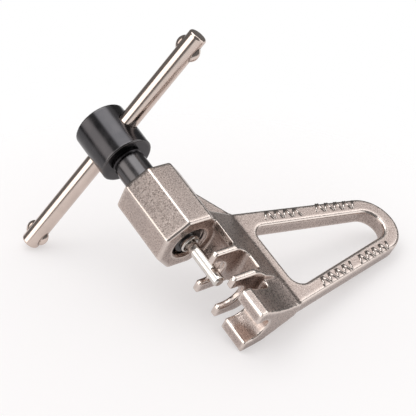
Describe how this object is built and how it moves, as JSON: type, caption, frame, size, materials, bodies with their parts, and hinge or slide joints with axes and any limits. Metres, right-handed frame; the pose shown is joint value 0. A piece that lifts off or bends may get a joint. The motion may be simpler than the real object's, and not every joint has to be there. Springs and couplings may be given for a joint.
{
  "type": "bicycle chain tool",
  "caption": "Pocket bicycle chain tool: cast body with finger loop and toothed chain seats, black drive screw with driving pin, and a sliding T-handle bar.",
  "frame": {"origin": "On the drive screw axis, in the middle of the outer chain seat", "axes": "+X is the driving direction, from the handle to the anvil; +Y runs from the chain seat to the finger loop; +Z is square to the flat loop plate"},
  "size_m": [0.0796, 0.0879, 0.0789],
  "materials": {
    "plated_casting": "satin nickel plate over a bead-blasted casting",
    "black_oxide_steel": "black oxide, oiled, turned",
    "polished_steel": "ground and polished",
    "bright_nickel": "bright nickel plate"
  },
  "bodies": {
    "tool_body": {"tool_body": "plated_casting"},
    "driving_pin": {"driving_pin": "polished_steel"},
    "drive_screw": {"drive_screw": "black_oxide_steel", "pin_retainer": "polished_steel"},
    "handle_bar": {"handle_bar": "bright_nickel"}
  },
  "joints": [
    {"name": "screw_advance", "type": "slide", "parent": "tool_body", "child": "driving_pin", "axis": [1, 0, 0], "range_m": [-0.015, 0.0095]},
    {"name": "screw_turn", "type": "hinge", "parent": "driving_pin", "child": "drive_screw", "pos_m": [0, 0, 0], "axis": [1, 0, 0], "range_deg": [-5102, 3231]},
    {"name": "bar_slide", "type": "slide", "parent": "drive_screw", "child": "handle_bar", "axis": [0, 0.3875, 0.9219], "range_m": [-0.025, 0.0275]}
  ],
  "couplings": [
    {"joint": "screw_advance", "follows": "screw_turn", "m_per_rad": 0.00016844}
  ]
}
